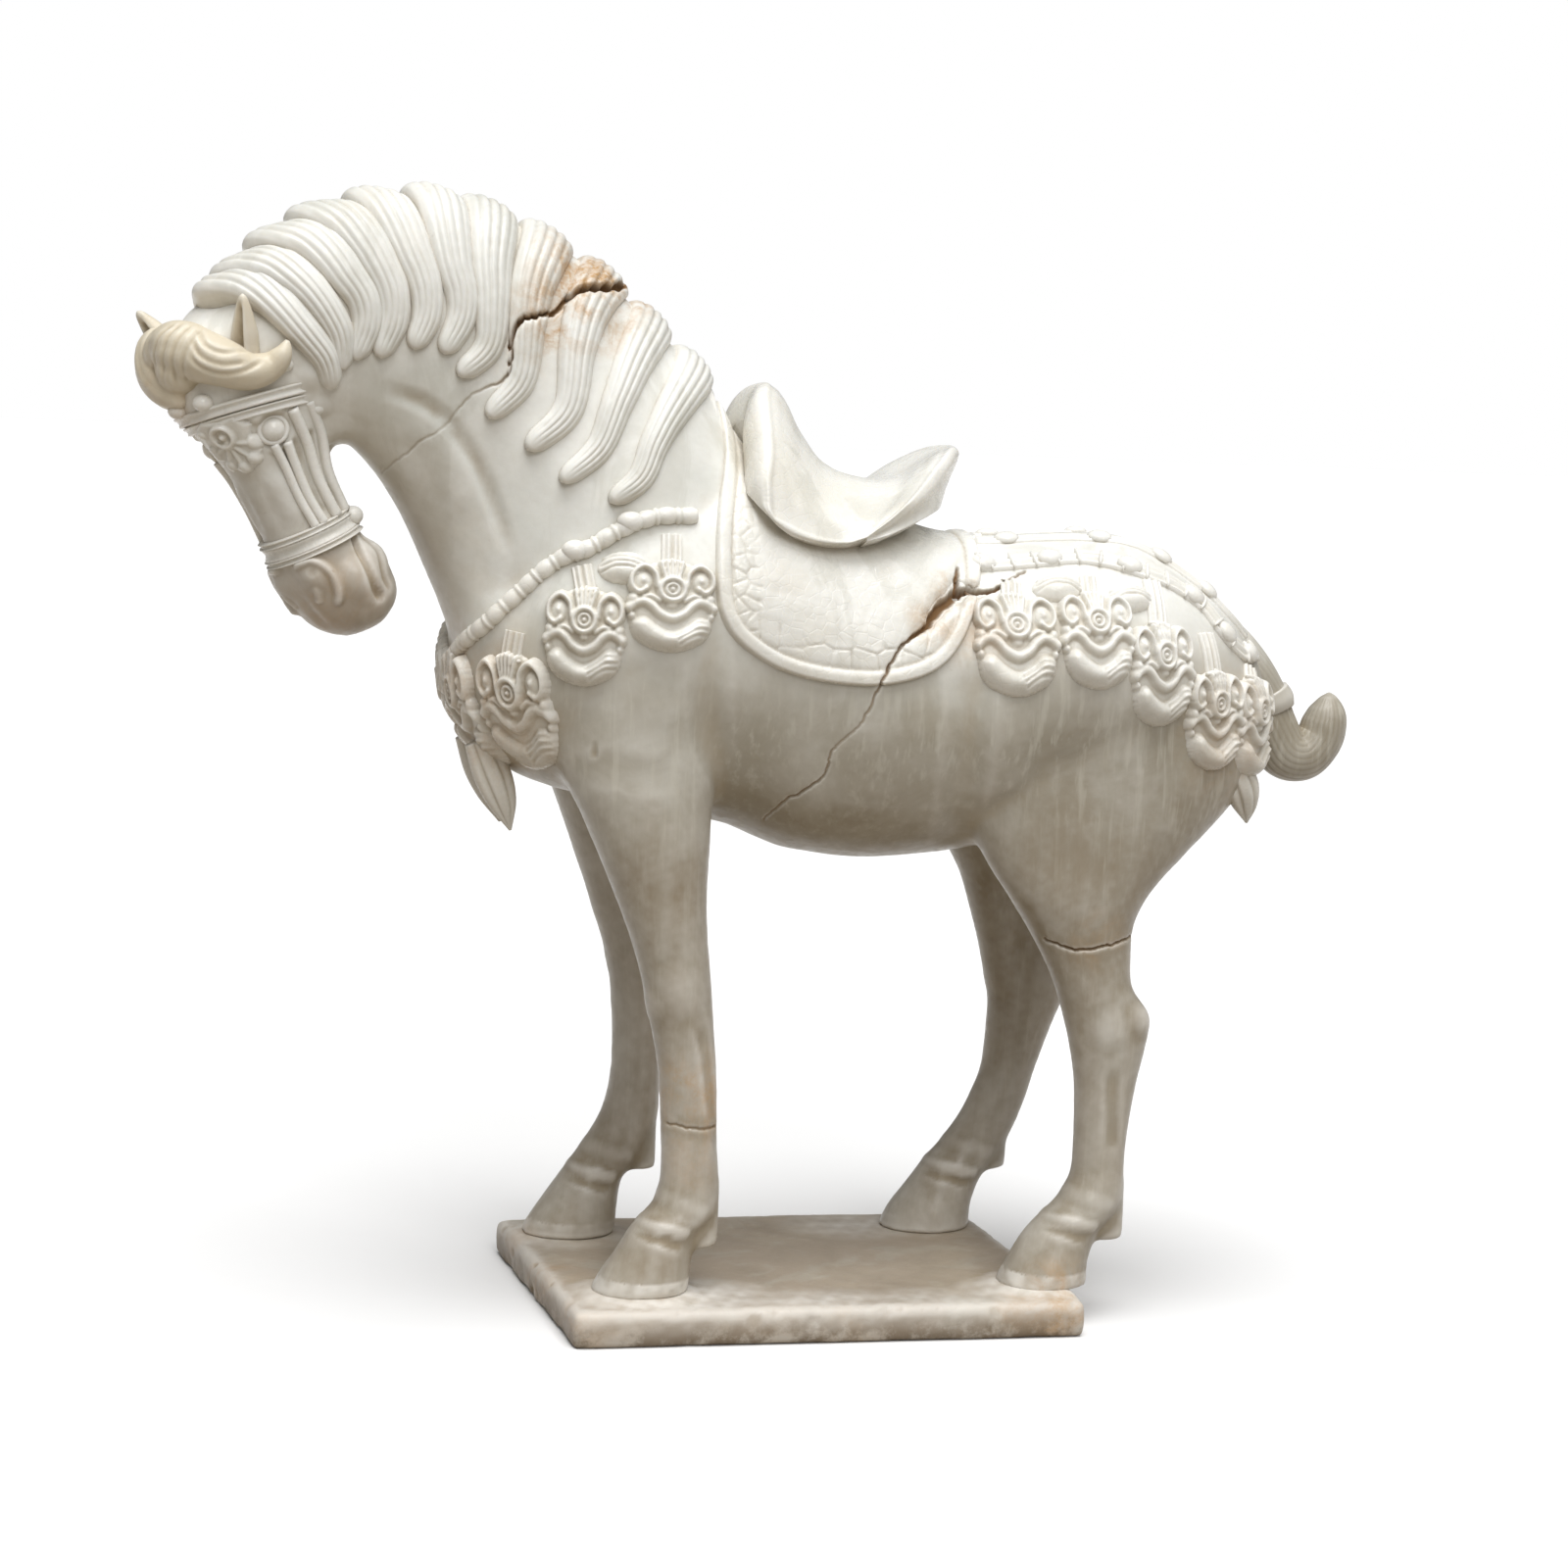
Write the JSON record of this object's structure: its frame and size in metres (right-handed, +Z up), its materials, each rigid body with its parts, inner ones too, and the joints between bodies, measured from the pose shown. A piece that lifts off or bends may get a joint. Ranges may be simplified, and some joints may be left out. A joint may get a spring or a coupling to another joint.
{
  "type": "horse figurine",
  "caption": "Standing carved marble horse with saddle, cloth, breast and rump ornaments on a thin rectangular plinth, broken and mended with hidden pins.",
  "frame": {"origin": "middle of the plinth's underside", "axes": "+Z up, +X from the head to the tail along the horse, -Y towards the horse's near (left) side"},
  "size_m": [0.4331, 0.131, 0.3793],
  "materials": {
    "white_marble": "polished",
    "cream_marble": "polished",
    "tan_marble": "polished",
    "plinth_marble": "honed",
    "pin_steel": "satin"
  },
  "bodies": {
    "root": {"plinth": "plinth_marble", "head_and_neck": "white_marble", "forequarters": "white_marble", "hindquarters": "white_marble", "near_foreleg_lower": "white_marble", "near_hind_leg_lower": "white_marble", "neck_dowel": "pin_steel", "barrel_dowel_near": "pin_steel", "barrel_dowel_off": "pin_steel", "near_fore_dowel": "pin_steel", "near_hind_dowel": "pin_steel", "hoof_dowel_near_fore": "pin_steel", "hoof_dowel_off_fore": "pin_steel", "hoof_dowel_near_hind": "pin_steel", "hoof_dowel_off_hind": "pin_steel", "mane_front": "white_marble", "mane_rear": "white_marble", "forelock": "tan_marble", "near_ear": "tan_marble", "off_ear": "tan_marble", "tail": "white_marble", "saddle_cloth": "cream_marble", "saddle_cloth_corner_near": "cream_marble", "saddle_cloth_corner_off": "cream_marble", "saddle": "cream_marble", "breast_strap": "cream_marble", "crupper_strap_near": "cream_marble", "crupper_strap_off": "cream_marble", "browband": "cream_marble", "noseband": "cream_marble", "cheek_strap_near": "cream_marble", "cheek_strap_off": "cream_marble", "forehead_plaque": "cream_marble", "breast_pendant_1_near": "cream_marble", "breast_pendant_1_off": "cream_marble", "breast_pendant_2_near": "cream_marble", "breast_pendant_2_off": "cream_marble", "breast_pendant_3_near": "cream_marble", "breast_pendant_3_off": "cream_marble", "breast_pendant_4_near": "cream_marble", "breast_pendant_4_off": "cream_marble", "rump_pendant_1_near": "cream_marble", "rump_pendant_1_off": "cream_marble", "rump_pendant_2_near": "cream_marble", "rump_pendant_2_off": "cream_marble", "rump_pendant_3_near": "cream_marble", "rump_pendant_3_off": "cream_marble", "rump_pendant_4_near": "cream_marble", "rump_pendant_4_off": "cream_marble", "rump_pendant_5_near": "cream_marble", "rump_pendant_5_off": "cream_marble", "rump_pendant_6_near": "cream_marble", "rump_pendant_6_off": "cream_marble", "breast_tassel_near": "cream_marble", "breast_tassel_off": "cream_marble", "rump_tassel_1_near": "cream_marble", "rump_tassel_1_off": "cream_marble", "rump_tassel_2_near": "cream_marble", "rump_tassel_2_off": "cream_marble"}
  },
  "joints": []
}
